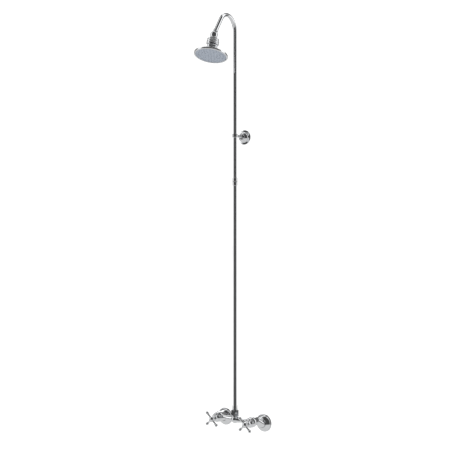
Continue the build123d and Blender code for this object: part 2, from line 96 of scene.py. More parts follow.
def placed(origin, z_axis, x_axis=(1, 0, 0)):
    """Turns local coordinates, with Z along z_axis, into the column's own."""
    z = Vector(z_axis).normalized()
    x = (Vector(x_axis) - z * z.dot(Vector(x_axis))).normalized()
    y = z.cross(x)
    turn = Matrix((x, y, z)).transposed().to_4x4()
    return Matrix.Translation(Vector(origin)) @ turn


SIDES = {"hot": -1, "cold": 1}
OUT = Vector((0, -1, 0))  # out of the wall, into the room
RISER = middle("lower_riser")
RISER.z = 0
TUBE_R = (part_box("lower_riser")[1].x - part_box("lower_riser")[0].x) / 2 / MM
BALL = in_mm(joint("head_tilt")["pos_m"])
ARM_DIR = Vector(joint("head_turn")["axis"])
HEAD_DIR = Vector(joint("head_spin")["axis"])
JOINT_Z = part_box("coupling_o_ring")[0].z / MM + 1
BRACKET_Z = mount("bracket_screws")["pos_m"][2] / MM
ARCH_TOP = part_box("upper_riser")[1].z / MM
VALVE_Z = joint("hot_handle_turn")["pos_m"][2] / MM

AT_RISER = placed(RISER, (0, 0, 1))
AT_BRACKET = placed((0, 0, BRACKET_Z), OUT)
AT_ARM = placed(BALL, ARM_DIR)
AT_HEAD = placed(BALL, HEAD_DIR)


def at_inlet(name):
    point = in_mm(mount(f"{name}_inlet")["pos_m"])
    return placed((point.x, 0, point.z), OUT)


def at_valve(name):
    point = in_mm(joint(f"{name}_handle_turn")["pos_m"])
    return placed((point.x, 0, point.z), OUT)


# ---- settings a user would change ----
def length(name, description, default):
    return bpy.props.FloatProperty(
        name=name, description=description, default=default, min=0, unit="LENGTH", precision=5
    )


def tint(name, description, default):
    return bpy.props.FloatVectorProperty(
        name=name, description=description, default=default, subtype="COLOR", min=0, max=1
    )


def share(name, description, default):
    return bpy.props.FloatProperty(
        name=name, description=description, default=default, subtype="FACTOR", min=0, max=1
    )


class ColumnSizes(bpy.types.PropertyGroup):
    """Sizes shared by several pieces."""

    bend_radius: length("Gooseneck radius", "From the bend's centre to the tube's axis", 0.052)
    edge: length("Edge rounding", "How far a turned piece's sharp corners are broken", 0.00035)
    nut_flats: length("Union nut", "Across the flats of the unions' nuts", 0.031)
    riser_nut_flats: length("Riser nut", "Across the flats of the nut under the riser", 0.0285)
    spoke_reach: length("Spoke", "From the handle's axis to the centre of a spoke's ball", 0.030)
    spoke_ball: length("Spoke ball", "Radius of the ball at a spoke's end", 0.0062)
    jet_pitch: length("Jet pitch", "Between one ring of jets and the next", 0.0115)


class ColumnColours(bpy.types.PropertyGroup):
    """Colours and finishes of the column."""

    chrome: tint("Chrome", "Colour of the plated brass", (0.86, 0.87, 0.885))
    chrome_haze: share("Chrome haze", "Roughness of the polished plate", 0.02)
    face: tint("Spray plate", "Colour of the spray plate", (0.31, 0.345, 0.40))
    silicone: tint("Silicone", "Colour of the jets", (0.31, 0.345, 0.40))
    rubber: tint("Rubber", "Colour of washers and rings", (0.02, 0.02, 0.022))
    brass: tint("Brass", "Colour of the unplated brass inside", (0.72, 0.55, 0.27))
    steel: tint("Steel", "Colour of the screws", (0.56, 0.56, 0.57))
    ceramic: tint("Ceramic", "Colour of the valve discs", (0.88, 0.88, 0.85))
    acetal: tint("Acetal", "Colour of the ball's seat", (0.82, 0.82, 0.80))


class StageSettings(bpy.types.PropertyGroup):
    """The floor, the lights and the camera."""

    azimuth: bpy.props.FloatProperty(
        name="Camera azimuth", description="How far the camera stands round to the right",
        default=math.radians(34), subtype="ANGLE",
    )
    distance: length("Camera distance", "From the riser to the camera", 2.876)
    height: length("Camera height", "Above the supply inlets", 0.766)
    aside: length("Camera offset", "How far the camera is moved to its left", 0.0386)
    lens: bpy.props.FloatProperty(
        name="Lens", description="Focal length", default=59.5, min=10, subtype="DISTANCE_CAMERA"
    )
    floor_drop: length("Floor", "How far the floor lies under the column", 0.30)
    floor_tint: tint("Floor colour", "Colour of the floor", (0.97, 0.97, 0.97))
    daylight: bpy.props.FloatProperty(
        name="Surround", description="Brightness of the white surround", default=1.0, min=0
    )


def sizes():
    return bpy.context.scene.column_sizes


def colours():
    return bpy.context.scene.column_colours


# ---- shader maths ----
class Signal:
    """A socket that Python's operators act on."""

    def __init__(self, web, socket):
        self.web, self.socket = web, socket

    def math(self, operation, *others):
        values = {i: value for i, value in enumerate((self, *others))}
        return self.web.node("ShaderNodeMath", {"operation": operation}, values)

    def most(self, other):
        return self.math("MAXIMUM", other)

    def dot(self, vector):
        return self.web.node(
            "ShaderNodeVectorMath", {"operation": "DOT_PRODUCT"}, {0: self, 1: vector}, "Value"
        )

    def within(self, low, high, soft):
        """1 between low and high and 0 outside, with edges soft wide."""
        return self.rise(low, soft) * (1 - self.rise(high, soft))

    def rise(self, middle, soft):
        """Climbs smoothly from 0 to 1 about a middle value."""
        return self.web.node(
            "ShaderNodeMapRange", {"interpolation_type": "SMOOTHSTEP"},
            {"Value": self, "From Min": middle - soft / 2, "From Max": middle + soft / 2},
        )

    def __add__(self, other):
        return self.math("ADD", other)

    __radd__ = __add__

    def __mul__(self, other):
        return self.math("MULTIPLY", other)

    __rmul__ = __mul__

    def __sub__(self, other):
        return self.math("SUBTRACT", other)

    def __rsub__(self, other):
        return (self * -1) + other


class Web:
    """A tree of shader nodes."""

    def __init__(self, tree):
        self.tree = tree

    def node(self, kind, settings=None, values=None, output=0):
        """Adds a node: its settings come first, then the values or links of its sockets."""
        made = self.tree.nodes.new(kind)
        for name, value in (settings or {}).items():
            setattr(made, name, value)
        for key, value in (values or {}).items():
            if isinstance(value, Signal):
                self.tree.links.new(value.socket, made.inputs[key])
            else:
                made.inputs[key].default_value = value
        return Signal(self, made.outputs[output])


class Paint(Web):
    """One material, with the nodes that feed its shader."""

    def __init__(self, name):
        self.material = bpy.data.materials.new(name)
        self.material.use_nodes = True
        super().__init__(self.material.node_tree)
        self.shader = self.tree.nodes["Principled BSDF"]

    def place(self):
        return self.node("ShaderNodeTexCoord", output="Object")

    def noise(self, scale, detail=3.0, roughness=0.5, stretch=(1, 1, 1)):
        """Cloudy noise between 0 and 1, with scale in lumps per metre."""
        where = self.node("ShaderNodeMapping", {}, {"Vector": self.place(), "Scale": stretch})
        return self.node(
            "ShaderNodeTexNoise", {},
            {"Vector": where, "Scale": scale, "Detail": detail, "Roughness": roughness},
        )

    def between(self, signal, low, high):
        """Spreads a signal's middle half over the range from low to high."""
        return self.node(
            "ShaderNodeMapRange", {},
            {"Value": signal, "From Min": 0.3, "From Max": 0.7, "To Min": low, "To Max": high},
        )

    def mix(self, factor, first, second):
        """A colour between two others."""
        return self.node(
            "ShaderNodeMix", {"data_type": "RGBA"}, {0: factor, 6: (*first, 1), 7: (*second, 1)}, 2
        )

    def bump(self, height, distance, strength=1.0):
        """Raises the surface by distance metres where height is 1."""
        return self.node(
            "ShaderNodeBump", {}, {"Height": height, "Distance": distance, "Strength": strength}
        )

    def feed(self, **values):
        """Sets the shader's sockets, whose names are given with _ for a space."""
        for name, value in values.items():
            socket = self.shader.inputs[name.replace("_", " ").title().replace("Ior", "IOR")]
            if isinstance(value, Signal):
                self.tree.links.new(value.socket, socket)
            else:
                socket.default_value = value
        return self.material


def shaded(colour, factor):
    return tuple(min(1.0, part * factor) for part in colour)


def polished_chrome():
    """Bright plate: faint polishing haze and the slight waviness of buffed brass."""
    paint = Paint("polished_chrome")
    colour, haze = colours().chrome, colours().chrome_haze
    cloud = paint.noise(28, 4)
    spots = paint.noise(420, 2, 0.6)
    swirl = paint.noise(60, 2)
    return paint.feed(
        base_color=paint.mix(cloud, shaded(colour, 0.965), shaded(colour, 1.03)),
        metallic=1.0,
        roughness=paint.between(cloud, haze * 0.6, haze * 1.4) + paint.between(spots, 0.0, 0.008),
        normal=paint.bump(swirl, 0.00001, 0.5),
    )


def satin_plate():
    """Finely blasted plate, with soft uneven sheen."""
    paint = Paint("satin_plate")
    colour = colours().face
    cloud, grain = paint.noise(40, 3), paint.noise(2600, 2)
    return paint.feed(
        base_color=paint.mix(cloud, shaded(colour, 0.95), shaded(colour, 1.05)),
        metallic=0.15,
        roughness=paint.between(cloud, 0.45, 0.55),
        normal=paint.bump(grain, 0.00002, 0.5),
    )


def soft_silicone():
    paint = Paint("soft_silicone")
    colour = colours().silicone
    cloud = paint.noise(300, 2)
    return paint.feed(
        base_color=paint.mix(cloud, shaded(colour, 0.92), shaded(colour, 1.06)),
        roughness=paint.between(cloud, 0.45, 0.6),
        normal=paint.bump(paint.noise(1500, 2), 0.00002),
    )


def black_rubber():
    paint = Paint("black_rubber")
    colour = colours().rubber
    bloom = paint.noise(180, 4)
    return paint.feed(
        base_color=paint.mix(bloom, colour, shaded(colour, 2.2)),
        roughness=paint.between(bloom, 0.55, 0.75),
        normal=paint.bump(paint.noise(2400, 2), 0.00003),
    )


def turned_brass():
    """Unplated brass, with fine tool marks."""
    paint = Paint("turned_brass")
    colour = colours().brass
    marks, cloud = paint.noise(900, 2, 0.5, (1, 6, 1)), paint.noise(60, 3)
    return paint.feed(
        base_color=paint.mix(cloud, shaded(colour, 0.85), shaded(colour, 1.08)),
        metallic=1.0,
        roughness=paint.between(marks, 0.22, 0.36),
        normal=paint.bump(marks, 0.00002),
    )


def screw_steel():
    paint = Paint("screw_steel")
    colour = colours().steel
    marks = paint.noise(1200, 2, 0.5, (1, 5, 1))
    return paint.feed(
        base_color=paint.mix(marks, shaded(colour, 0.9), shaded(colour, 1.08)),
        metallic=1.0,
        roughness=paint.between(marks, 0.25, 0.4),
        normal=paint.bump(marks, 0.00001),
    )


def lapped_ceramic():
    paint = Paint("lapped_ceramic")
    colour = colours().ceramic
    cloud = paint.noise(250, 3)
    return paint.feed(
        base_color=paint.mix(cloud, shaded(colour, 0.96), colour),
        roughness=paint.between(cloud, 0.12, 0.2),
        normal=paint.bump(paint.noise(3000, 2), 0.00001),
    )


def moulded_acetal():
    paint = Paint("moulded_acetal")
    colour = colours().acetal
    cloud = paint.noise(200, 3)
    return paint.feed(
        base_color=paint.mix(cloud, shaded(colour, 0.95), shaded(colour, 1.02)),
        roughness=paint.between(cloud, 0.35, 0.48),
        normal=paint.bump(paint.noise(2200, 2), 0.00001),
    )


FINISHES = {
    "chrome": polished_chrome,
    "raw_brass": turned_brass,
    "steel": screw_steel,
    "ceramic": lapped_ceramic,
    "black_rubber": black_rubber,
    "white_plastic": moulded_acetal,
    "face_plate": satin_plate,
    "silicone": soft_silicone,
}
mixed = {}


def finish_of(slot):
    """The material of a slot, mixed once."""
    if slot not in mixed:
        mixed[slot] = FINISHES[slot]()
    return mixed[slot]


# ---- outlines and solids, in millimetres ----
def arc(start, through, end, steps=12):
    """Points along the circle through three points, from start to end."""
    (ax, ay), (bx, by), (cx, cy) = start, through, end
    scale = 2 * (ax * (by - cy) + bx * (cy - ay) + cx * (ay - by))
    a2, b2, c2 = ax * ax + ay * ay, bx * bx + by * by, cx * cx + cy * cy
    ox = (a2 * (by - cy) + b2 * (cy - ay) + c2 * (ay - by)) / scale
    oy = (a2 * (cx - bx) + b2 * (ax - cx) + c2 * (bx - ax)) / scale
    radius = math.hypot(ax - ox, ay - oy)
    first = math.atan2(ay - oy, ax - ox)
    sweep = (math.atan2(cy - oy, cx - ox) - first) % ROUND
    if (math.atan2(by - oy, bx - ox) - first) % ROUND > sweep:
        sweep -= ROUND
    angles = (first + sweep * i / steps for i in range(steps + 1))
    return [(ox + radius * math.cos(t), oy + radius * math.sin(t)) for t in angles]


def is_corner(vert, least=math.radians(24)):
    """True where a turned outline bends sharply, away from its axis."""
    if vert.co.x < 1e-4 or len(vert.link_edges) != 2:
        return False
    ways = [(edge.other_vert(vert).co - vert.co) for edge in vert.link_edges]
    return math.pi - ways[0].angle(ways[1]) > least


def turned(place, outline, steps=96, edge=None):
    """A lathe piece: a closed outline of (radius, height) points, turned about place's Z axis."""
    edge = sizes().edge / MM if edge is None else edge
    bm = bmesh.new()
    verts = [bm.verts.new((radius, 0, height)) for radius, height in outline]
    for one, other in zip(verts, verts[1:] + verts[:1]):
        if not (one.co.x < 1e-6 and other.co.x < 1e-6):
            bm.edges.new((one, other))
    corners = [v for v in bm.verts if is_corner(v)]
    if corners and edge:
        bmesh.ops.bevel(
            bm, geom=corners, offset=edge, offset_type="OFFSET", segments=3, profile=0.5,
            affect="VERTICES", clamp_overlap=True, material=-1,
        )
    bmesh.ops.spin(
        bm, geom=bm.verts[:] + bm.edges[:], cent=(0, 0, 0), axis=(0, 0, 1), dvec=(0, 0, 0),
        angle=ROUND, steps=steps, use_merge=True,
    )
    bmesh.ops.remove_doubles(bm, verts=bm.verts, dist=1e-4)
    bmesh.ops.recalc_face_normals(bm, faces=bm.faces)
    bmesh.ops.transform(bm, matrix=place, verts=bm.verts)
    return bm


def ring_outline(inner, outer, low, high):
    return [(inner, low), (outer, low), (outer, high), (inner, high)]


def rod_outline(radius, low, high):
    return [(0, low), (radius, low), (radius, high), (0, high)]


def hexagon_nut(place, flats, bore, low, high):
    """A hexagon nut, with its corners turned off at both ends and a plain bore."""
    blank = bmesh.new()
    corner = flats / 2 / math.cos(math.pi / 6)
    bmesh.ops.create_circle(blank, cap_ends=True, radius=corner, segments=6)
    bmesh.ops.rotate(blank, matrix=Matrix.Rotation(math.pi / 6, 3, "Z"), verts=blank.verts)
    raised = bmesh.ops.extrude_face_region(blank, geom=blank.faces[:])
    lifted = [item for item in raised["geom"] if isinstance(item, bmesh.types.BMVert)]
    bmesh.ops.translate(blank, vec=(0, 0, high - low), verts=lifted)
    bmesh.ops.translate(blank, vec=(0, 0, low), verts=blank.verts)
    bmesh.ops.recalc_face_normals(blank, faces=blank.faces)
    upright = [e for e in blank.edges if abs(e.verts[0].co.z - e.verts[1].co.z) > 1]
    bmesh.ops.bevel(
        blank, geom=upright, offset=0.5, offset_type="OFFSET", segments=3, profile=0.5,
        affect="EDGES", material=-1,
    )
    rim, drop = corner - 1.6, 1.0
    stock = turned(
        Matrix.Identity(4),
        [(bore, low), (rim, low), (corner + 0.2, low + drop), (corner + 0.2, high - drop),
         (rim, high), (bore, high)],
        edge=0,
    )
    nut = combined(blank, [stock], "INTERSECT")
    bmesh.ops.transform(nut, matrix=place, verts=nut.verts)
    return nut


def scratch_object(bm):
    mesh = bpy.data.meshes.new("scratch")
    bm.to_mesh(mesh)
    bm.free()
    made = bpy.data.objects.new("scratch", mesh)
    bpy.context.scene.collection.objects.link(made)
    return made


def combined(first, others, operation="UNION"):
    """One solid from several, joined, cut or kept where they meet."""
    base = scratch_object(first)
    tools = [scratch_object(other) for other in others]
    for tool in tools:
        cut = base.modifiers.new("cut", "BOOLEAN")
        cut.operation, cut.solver, cut.object = operation, "EXACT", tool
    shown = base.evaluated_get(bpy.context.evaluated_depsgraph_get())
    result = bmesh.new()
    result.from_mesh(shown.to_mesh())
    shown.to_mesh_clear()
    for item in (base, *tools):
        mesh = item.data
        bpy.data.objects.remove(item)
        bpy.data.meshes.remove(mesh)
    bmesh.ops.remove_doubles(result, verts=result.verts, dist=1e-4)
    if not result.faces:
        raise RuntimeError("a boolean left nothing")
    return result


def piece(name, bm, body, slot, replaces, sharp=32):
    """Makes a finished object from a solid in millimetres and fixes it to the frame."""
    bmesh.ops.scale(bm, vec=(MM, MM, MM), verts=bm.verts)
    for face in bm.faces:
        face.smooth = True
    mesh = bpy.data.meshes.new(name)
    bm.to_mesh(mesh)
    bm.free()
    mesh.set_sharp_from_angle(angle=math.radians(sharp))
    made = bpy.data.objects.new(name, mesh)
    bpy.context.scene.collection.objects.link(made)
    mesh.materials.append(finish_of(slot))
    shading = made.modifiers.new("shading", "WEIGHTED_NORMAL")
    shading.mode, shading.weight, shading.keep_sharp = "FACE_AREA", 100, True
    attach(made, body)
    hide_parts(*replaces)
    return made


def chrome(node, bm, body="column", sharp=32):
    """A chrome piece that stands for one node of the frame."""
    return piece(f"{node}_plated", bm, body, "chrome", [node], sharp)


# ---- supply connections ----
class COLUMN_OT_wall_flanges(bpy.types.Operator):
    """Turn the domed covers over the supply pipes"""

    bl_idname = "column.wall_flanges"
    bl_label = "Wall flanges"

    def execute(self, context):
        outline = [
            (32.3, 0), (34, 0), (34, 1.6), *arc((34, 1.6), (33.5, 2.9), (32.2, 3.4), 5)[1:],
            (31, 3.4), *arc((31, 4.8), (26.4, 12.6), (15, 17.2), 28), (13.7, 17.2), (13.7, 15.7),
            *arc((15, 15.7), (25.3, 11.4), (29.5, 4.8), 14),
            (29.5, 1.9), (32.3, 1.9),
        ]
        for name in SIDES:
            chrome(f"{name}_wall_flange", turned(at_inlet(name), outline, 128))
        return {"FINISHED"}


class COLUMN_OT_offset_unions(bpy.types.Operator):
    """Shape the cranked connectors between the flanges and the valves"""

    bl_idname = "column.offset_unions"
    bl_label = "Offset unions"

    def execute(self, context):
        for name in SIDES:
            wall, valve = at_inlet(name), at_valve(name)
            chrome(f"{name}_offset_union", self.cranked(wall, valve))
        return {"FINISHED"}

    def cranked(self, wall, valve):
        """A tube that leaves the wall on one axis and reaches the valve on the other."""
        stations = ((wall, 0, 13.5), (wall, 20.5, 13.5), (valve, 40, 11.5), (valve, 47.6, 11.5),
                    (valve, 47.6, 13.6), (valve, 50, 13.6), (valve, 50, 7.0), (valve, 42, 7.0),
                    (wall, 17, 7.0), (wall, 14, 7.0), (wall, 14, 9.3), (wall, 0, 9.3))
        bm = bmesh.new()
        rings = []
        for place, height, radius in stations:
            made = bmesh.ops.create_circle(
                bm, radius=radius, segments=64, matrix=place @ Matrix.Translation((0, 0, height))
            )
            rings.append(made["verts"])
        for one, other in zip(rings, rings[1:] + rings[:1]):
            for i in range(len(one)):
                bm.faces.new((one[i - 1], one[i], other[i], other[i - 1]))
        bmesh.ops.recalc_face_normals(bm, faces=bm.faces)
        return bm


class COLUMN_OT_union_nuts(bpy.types.Operator):
    """Cut the hexagon nuts behind the valves and under the riser"""

    bl_idname = "column.union_nuts"
    bl_label = "Union nuts"

    def execute(self, context):
        for name in SIDES:
            nut = hexagon_nut(at_valve(name), sizes().nut_flats / MM, 11.7, 41, 57)
            chrome(f"{name}_union_nut", nut, sharp=25)
        nut = hexagon_nut(AT_RISER, sizes().riser_nut_flats / MM, 9.9, 32, 53)
        chrome("riser_nut", nut, sharp=25)
        return {"FINISHED"}


# ---- mixer ----
class COLUMN_OT_mixer_casting(bpy.types.Operator):
    """Join the two valve barrels, the crossbar and the riser's outlet in one casting"""

    bl_idname = "column.mixer_casting"
    bl_label = "Mixer casting"

    def execute(self, context):
        riser_out = -RISER.y
        barrel = [
            (0, 52), (13.95, 52), (13.95, 58.5), (17.5, 58.5),
            *arc((17.5, 60.5), (20.4, 68), (16.8, 76.5), 16),
            (18.6, 77.8), (18.6, 83.4), (17.4, 85), (0, 85),
        ]
        valves = [turned(at_valve(name), barrel, 96) for name in SIDES]
        reach = abs(at_valve("hot").translation.x) - 10
        half = [
            *arc((11.2, 14), (8.9, 32), (8.4, 52), 10),
            *arc((8.4, 52), (10.7, 54), (8.4, 56), 8)[1:], (8.4, reach),
        ]
        bar = [(0, -reach), *((r, -s) for r, s in reversed(half)), *half, (0, reach)]
        crossbar = turned(
            placed((0, -riser_out, VALVE_Z), (1, 0, 0), (0, 0, 1)), bar, 72, edge=0.6
        )
        hub = bmesh.new()
        bmesh.ops.create_uvsphere(hub, u_segments=64, v_segments=32, radius=15.0)
        bmesh.ops.translate(hub, vec=(0, -riser_out, VALVE_Z), verts=hub.verts)
        outlet = turned(
            AT_RISER,
            [(0, VALVE_Z), (11.5, VALVE_Z), (11.5, 28), (15.4, 28), (15.4, 31), (12.95, 31),
             (12.95, 42), (0, 42)],
            72,
        )
        solid = combined(valves[0], [crossbar, valves[1], hub, outlet])
        chrome("mixer_body", solid)
        return {"FINISHED"}


class COLUMN_OT_bonnets(bpy.types.Operator):
    """Turn the bell-shaped covers of the cartridges"""

    bl_idname = "column.bonnets"
    bl_label = "Bonnets"

    def execute(self, context):
        outline = [
            (15.2, 85.1), (17, 85.1), (17, 87.2), *arc((17, 87.2), (16.2, 88.6), (14.9, 89.2), 5)[1:],
            *arc((14.9, 89.2), (11.6, 93.6), (10.4, 99.4), 10)[1:],
            *arc((10.4, 99.4), (11.9, 101), (10.4, 102.6), 8)[1:],
            (8.6, 104.4), (4.3, 104.4), (4.3, 100.2), (8.8, 100.2),
            *arc((8.8, 100.2), (10.2, 93.2), (13.6, 88.2), 8)[1:], (15.2, 88.2),
        ]
        for name in SIDES:
            chrome(f"{name}_bonnet", turned(at_valve(name), outline, 72))
        return {"FINISHED"}


class COLUMN_OT_cross_handles(bpy.types.Operator):
    """Turn the hubs and their ball-ended spokes"""

    bl_idname = "column.cross_handles"
    bl_label = "Cross handles"

    def execute(self, context):
        reach, ball, throat = sizes().spoke_reach / MM, sizes().spoke_ball / MM, 3.72
        behind = math.sqrt(ball**2 - throat**2)
        hub = [
            (0, 105.5), (7.4, 105.5), *arc((7.4, 105.5), (8.6, 107), (7.4, 108.5), 6)[1:],
            *arc((7.4, 108.5), (7.7, 110.5), (9.8, 111.8), 6)[1:], (9.8, 121),
            *arc((9.8, 121), (9.5, 121.7), (8.8, 122), 5)[1:], (6, 122), (6, 119.3), (0, 119.3),
        ]
        spoke = [
            (0, 5), (4.2, 5), *arc((4.2, 10), (3.3, 16), (4, 21.8), 10), (5, 22.6), (5, 24),
            *arc((throat, reach - behind), (ball, reach), (0, reach + ball), 20),
        ]
        for name in SIDES:
            valve = at_valve(name)
            centre = valve @ Vector((0, 0, 116.5))
            spokes = []
            for quarter in range(4):
                angle = math.radians(45 + 90 * quarter)
                along = Vector((math.cos(angle), 0, math.sin(angle)))
                spokes.append(turned(placed(centre, along, (0, 1, 0)), spoke, 48))
            chrome(f"{name}_handle", combined(turned(valve, hub, 72), spokes), f"{name}_control")
        return {"FINISHED"}


class COLUMN_OT_index_buttons(bpy.types.Operator):
    """Turn the domed buttons in the handles"""

    bl_idname = "column.index_buttons"
    bl_label = "Index buttons"

    def execute(self, context):
        outline = [
            (0, 119.4), (5.9, 119.4), (5.9, 122.1), (7.6, 122.1),
            *arc((7.6, 122.9), (3.94, 124.47), (0, 125), 10),
        ]
        for name in SIDES:
            node = f"{name}_index_button"
            chrome(node, turned(at_valve(name), outline, 64, 0.2), f"{name}_control")
        return {"FINISHED"}


# ---- riser ----
class COLUMN_OT_riser_foot(bpy.types.Operator):
    """Turn the collared tailpiece that the riser stands in"""

    bl_idname = "column.riser_foot"
    bl_label = "Riser tailpiece"

    def execute(self, context):
        bore, socket = TUBE_R - TUBE_WALL, TUBE_R + SOLDER_GAP
        outline = [
            (bore, 44), (12.7, 44), (12.7, 47.5), (9.7, 47.5), (9.7, 65.5),
            *arc((9.7, 65.5), (9.4, 67.8), (8.7, 69.5), 6)[1:], (socket, 69.5), (socket, 52),
            (bore, 52),
        ]
        chrome("riser_tailpiece", turned(AT_RISER, outline, 72))
        return {"FINISHED"}


class COLUMN_OT_lower_riser(bpy.types.Operator):
    """Draw the lower length of tube"""

    bl_idname = "column.lower_riser"
    bl_label = "Lower riser"

    def execute(self, context):
        low, high = (corner.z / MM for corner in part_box("lower_riser"))
        outline = ring_outline(TUBE_R - TUBE_WALL, TUBE_R, low, high)
        chrome("lower_riser", turned(AT_RISER, outline, 96))
        return {"FINISHED"}


class COLUMN_OT_coupling(bpy.types.Operator):
    """Turn the two halves of the coupling in the riser"""

    bl_idname = "column.coupling"
    bl_label = "Riser coupling"

    def execute(self, context):
        socket = TUBE_R + SOLDER_GAP
        low, high = JOINT_Z - 15, JOINT_Z - 1
        lower = [
            (socket, low), (8.8, low), (9.6, low + 1), (9.6, high - 0.6), (9.2, high), (7.6, high),
            (7.6, low + 6.1), (socket, low + 6.1),
        ]
        chrome("lower_coupling_half", turned(AT_RISER, lower, 72, 0.2))
        low, high = JOINT_Z + 0.8, JOINT_Z + 16
        upper = [
            (5.5, JOINT_Z - 8), (7.55, JOINT_Z - 8), (7.55, low), (9.4, low), (10.1, low + 0.8),
            (10.1, low + 3.6), (9.6, low + 4.4), (9.6, high - 1), (8.8, high), (socket, high),
            (socket, low + 4.2), (5.5, low + 4.2),
        ]
        chrome("upper_coupling_half", turned(AT_RISER, upper, 72, 0.2))
        return {"FINISHED"}


class COLUMN_OT_gooseneck(bpy.types.Operator):
    """Draw the upper tube up, over its bend and down to the ball"""

    bl_idname = "column.gooseneck"
    bl_label = "Gooseneck"

    def execute(self, context):
        radius = sizes().bend_radius / MM
        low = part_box("upper_riser")[0].z / MM
        spring = ARCH_TOP - TUBE_R - radius
        bend = math.pi - math.acos(-ARM_DIR.z)
        bm = bmesh.new()
        for wall in (TUBE_R, TUBE_R - TUBE_WALL):
            bmesh.ops.create_circle(
                bm, radius=wall, segments=64, matrix=AT_RISER @ Matrix.Translation((0, 0, low))
            )
        bmesh.ops.bridge_loops(bm, edges=bm.edges[:])
        front = self.drawn(bm, bm.faces[:], (0, 0, spring - low))
        turned_end = bmesh.ops.spin(
            bm, geom=front, cent=(0, RISER.y - radius, spring), axis=(1, 0, 0), dvec=(0, 0, 0),
            angle=bend, steps=72,
        )
        front = [item for item in turned_end["geom_last"] if isinstance(item, bmesh.types.BMFace)]
        reached = sum((face.calc_center_median() for face in front), Vector()) / len(front)
        run = (BALL - ARM_DIR * TUBE_END - reached).length
        self.drawn(bm, front, ARM_DIR * run)
        bmesh.ops.remove_doubles(bm, verts=bm.verts, dist=1e-3)
        bmesh.ops.delete(bm, geom=self.partitions(bm), context="FACES")
        bmesh.ops.recalc_face_normals(bm, faces=bm.faces)
        chrome("upper_riser", bm)
        return {"FINISHED"}

    def partitions(self, bm):
        """The faces left across the inside of the tube's wall where two lengths of it meet."""
        return [
            face for face in bm.faces if sum(len(edge.link_faces) > 2 for edge in face.edges) > 1
        ]

    def drawn(self, bm, faces, vector):
        """Extends the tube from its end faces and returns the new end."""
        longer = bmesh.ops.extrude_face_region(bm, geom=faces)["geom"]
        verts = [item for item in longer if isinstance(item, bmesh.types.BMVert)]
        bmesh.ops.translate(bm, vec=vector, verts=verts)
        return [item for item in longer if isinstance(item, bmesh.types.BMFace)]


class COLUMN_OT_wall_bracket(bpy.types.Operator):
    """Turn the bracket's flange, its arm and the ring round the riser"""

    bl_idname = "column.wall_bracket"
    bl_label = "Wall bracket"

    def execute(self, context):
        riser_out = -RISER.y
        flange = [
            (27.6, 0), (29, 0), (29, 1.2), *arc((29, 1.2), (28.5, 2.2), (27.4, 2.6), 5)[1:],
            (21, 3.6), *arc((20.4, 4.6), (18.0, 12.4), (11.6, 17.2), 16), (11.6, 19.2),
            *arc((11.6, 19.2), (11.1, 20.2), (10, 20.6), 5)[1:], (8.7, 20.6), (8.7, 16.4),
            *arc((10.6, 15.9), (16.7, 11.6), (19, 3.9), 10), (19, 2.5), (27.6, 1.2),
        ]
        chrome("bracket_flange", turned(AT_BRACKET, flange, 96, 0.25))
        start = riser_out - 16
        arm = [
            (0, 8.2), (4.5, 8.2), (5, 8.8), (5, start), (2.95, start),
            (2.95, riser_out - 10), (0, riser_out - 10),
        ]
        chrome("bracket_arm", turned(AT_BRACKET, arm, 64))
        around = placed((RISER.x, RISER.y, BRACKET_Z), (0, 0, 1))
        bore = TUBE_R + 0.05
        clamp = turned(
            around,
            [(bore, -7), (10.2, -7), *arc((10.2, -7), (11.2, -6.6), (11.6, -5.6), 5)[1:],
             *arc((11.6, 5.6), (11.2, 6.6), (10.2, 7), 5), (bore, 7)],
            72,
        )
        boss = turned(
            AT_BRACKET,
            [(3, start), (6, start), (6.8, start + 0.8), (6.8, start + 3), (5.6, start + 4),
             (5.6, riser_out - 9.2), (3, riser_out - 9.2)],
            64,
        )
        screw_hole = turned(
            placed((RISER.x - 5, RISER.y, BRACKET_Z), (-1, 0, 0), (0, 0, 1)),
            rod_outline(2.05, 4, 9), 32, 0,
        )
        solid = combined(combined(clamp, [boss]), [screw_hole], "DIFFERENCE")
        chrome("bracket_ring", solid)
        return {"FINISHED"}


# ---- rain head ----
class COLUMN_OT_ball_joint(bpy.types.Operator):
    """Turn the ball stud and the rounded nut that holds it"""

    bl_idname = "column.ball_joint"
    bl_label = "Ball joint"

    def execute(self, context):
        socket, ball = TUBE_R + SOLDER_GAP, 10.0
        neck_low = -math.sqrt(ball**2 - 5.2**2)
        outlet = math.sqrt(ball**2 - 3.5**2)
        stud = [
            *arc((5.2, neck_low), (ball, 0), (3.5, outlet), 36),
            (3.5, -13), (socket, -13), (socket, -22), (8.6, -22), (9.0, -21.2), (9.0, -12.3),
            (8.2, -11.5), (5.2, -11.5),
        ]
        chrome("ball_stud", turned(AT_ARM, stud, 72), "ball")
        reach = ball + 0.06
        lip = (8.45, -math.sqrt(reach**2 - 8.45**2))
        shoulder = (math.sqrt(reach**2 - 2.4**2), -2.4)
        between = (math.sqrt(reach**2 - 4.0**2), -4.0)
        nut = [
            lip, *arc((9.6, -7.2), (12.7, -3.4), (13.8, 2), 14),
            *arc((13.8, 2), (13.3, 7.8), (11.9, 13), 8)[1:], (11.05, 13), (11.05, -2.4),
            *arc(shoulder, between, lip, 6)[:-1],
        ]
        chrome("swivel_nut", turned(AT_HEAD, nut, 96, 0.25), "neck")
        return {"FINISHED"}


